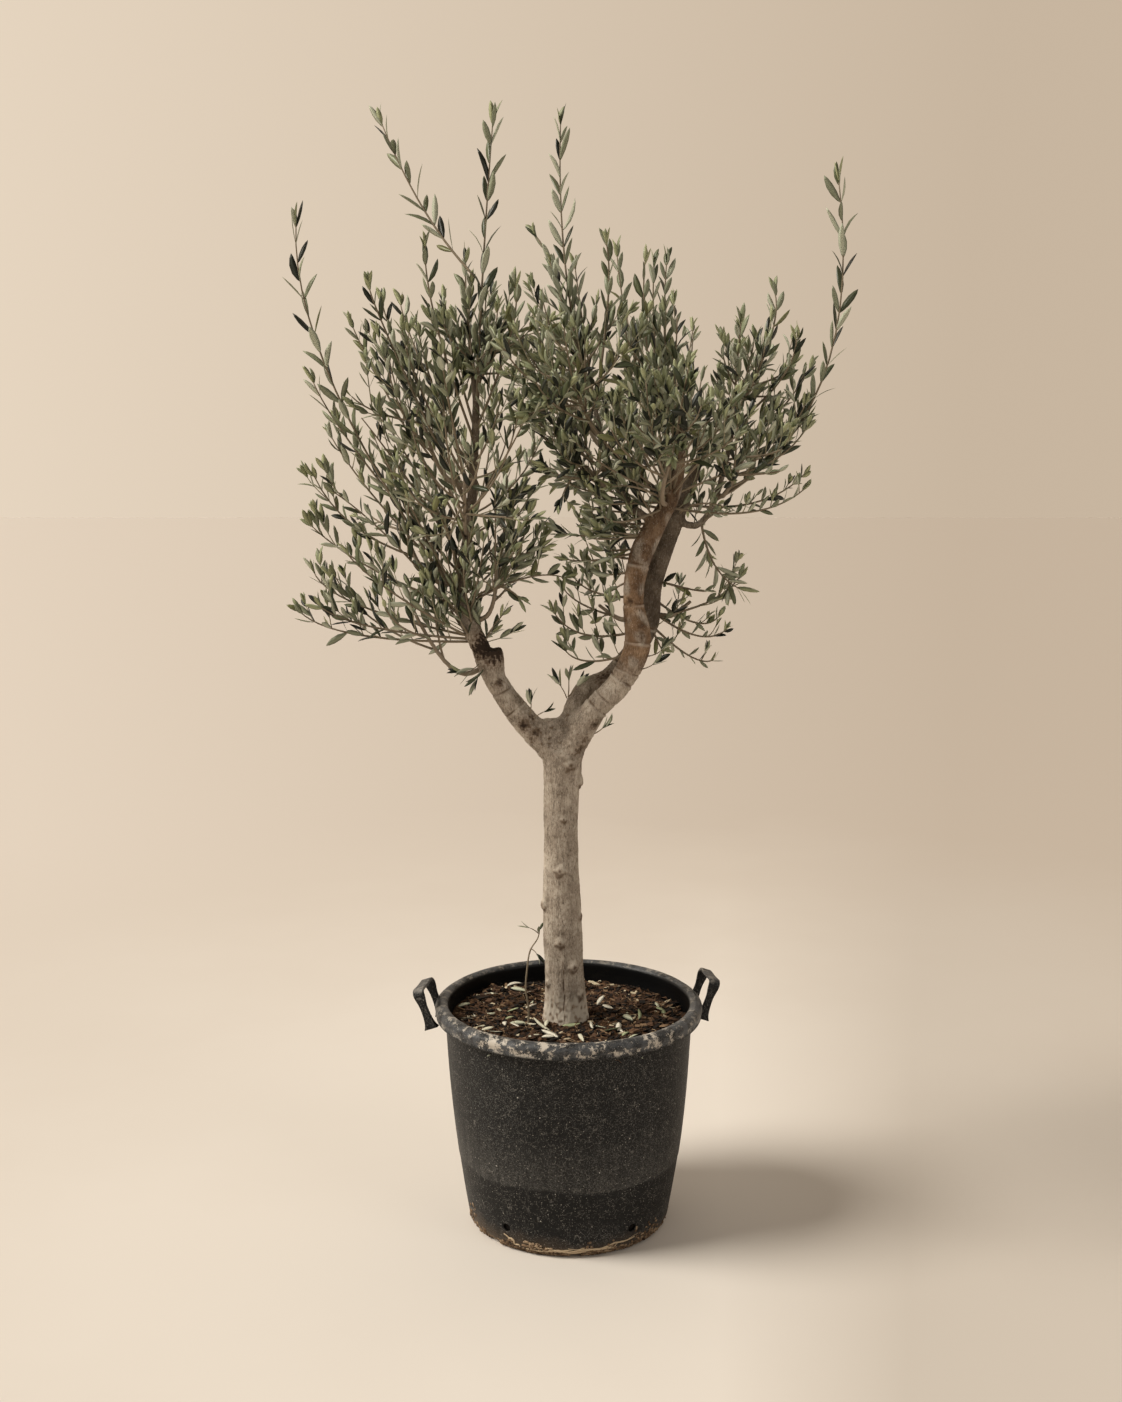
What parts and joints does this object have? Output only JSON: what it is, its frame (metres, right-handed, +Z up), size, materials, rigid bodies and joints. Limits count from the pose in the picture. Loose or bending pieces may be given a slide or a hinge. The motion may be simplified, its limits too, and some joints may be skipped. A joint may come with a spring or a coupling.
{
  "type": "potted olive tree",
  "caption": "Young olive tree with a straight trunk, a forked open crown of slender grey-green leaves and a black tapered nursery tub with two strap handles.",
  "frame": {"origin": "centre of the tub's flat underside", "axes": "+Z up along the tub's axis, +X towards the tub's right handle as seen from the front, -Y towards the front"},
  "size_m": [1.017, 0.8859, 2.0391],
  "materials": {
    "pot_plastic": "scuffed matt black with pale dust",
    "compost": "damp dark bark and fibre",
    "bark": "fine grey-beige bark",
    "foliage": "satin grey-green leaf, pale beneath"
  },
  "bodies": {
    "root": {"basal_shoot": "foliage", "bough_crown_centre": "bark", "bough_crown_right": "bark", "bough_left_lower": "bark", "bough_left_upper": "bark", "bough_middle_lower": "bark", "bough_middle_upper": "bark", "bough_right_lower": "bark", "bough_right_upper": "bark", "compost": "compost", "foliage_centre_back": "foliage", "foliage_centre_front": "foliage", "foliage_centre_hanging": "foliage", "foliage_centre_lower": "foliage", "foliage_centre_top": "foliage", "foliage_left_back": "foliage", "foliage_left_front": "foliage", "foliage_left_inner": "foliage", "foliage_left_lower": "foliage", "foliage_left_middle": "foliage", "foliage_left_top": "foliage", "foliage_left_upper": "foliage", "foliage_right_back": "foliage", "foliage_right_front": "foliage", "foliage_right_lower": "foliage", "foliage_right_middle": "foliage", "foliage_right_side": "foliage", "foliage_right_top": "foliage", "handle_left": "pot_plastic", "handle_right": "pot_plastic", "pot": "pot_plastic", "trunk": "bark"}
  },
  "joints": []
}
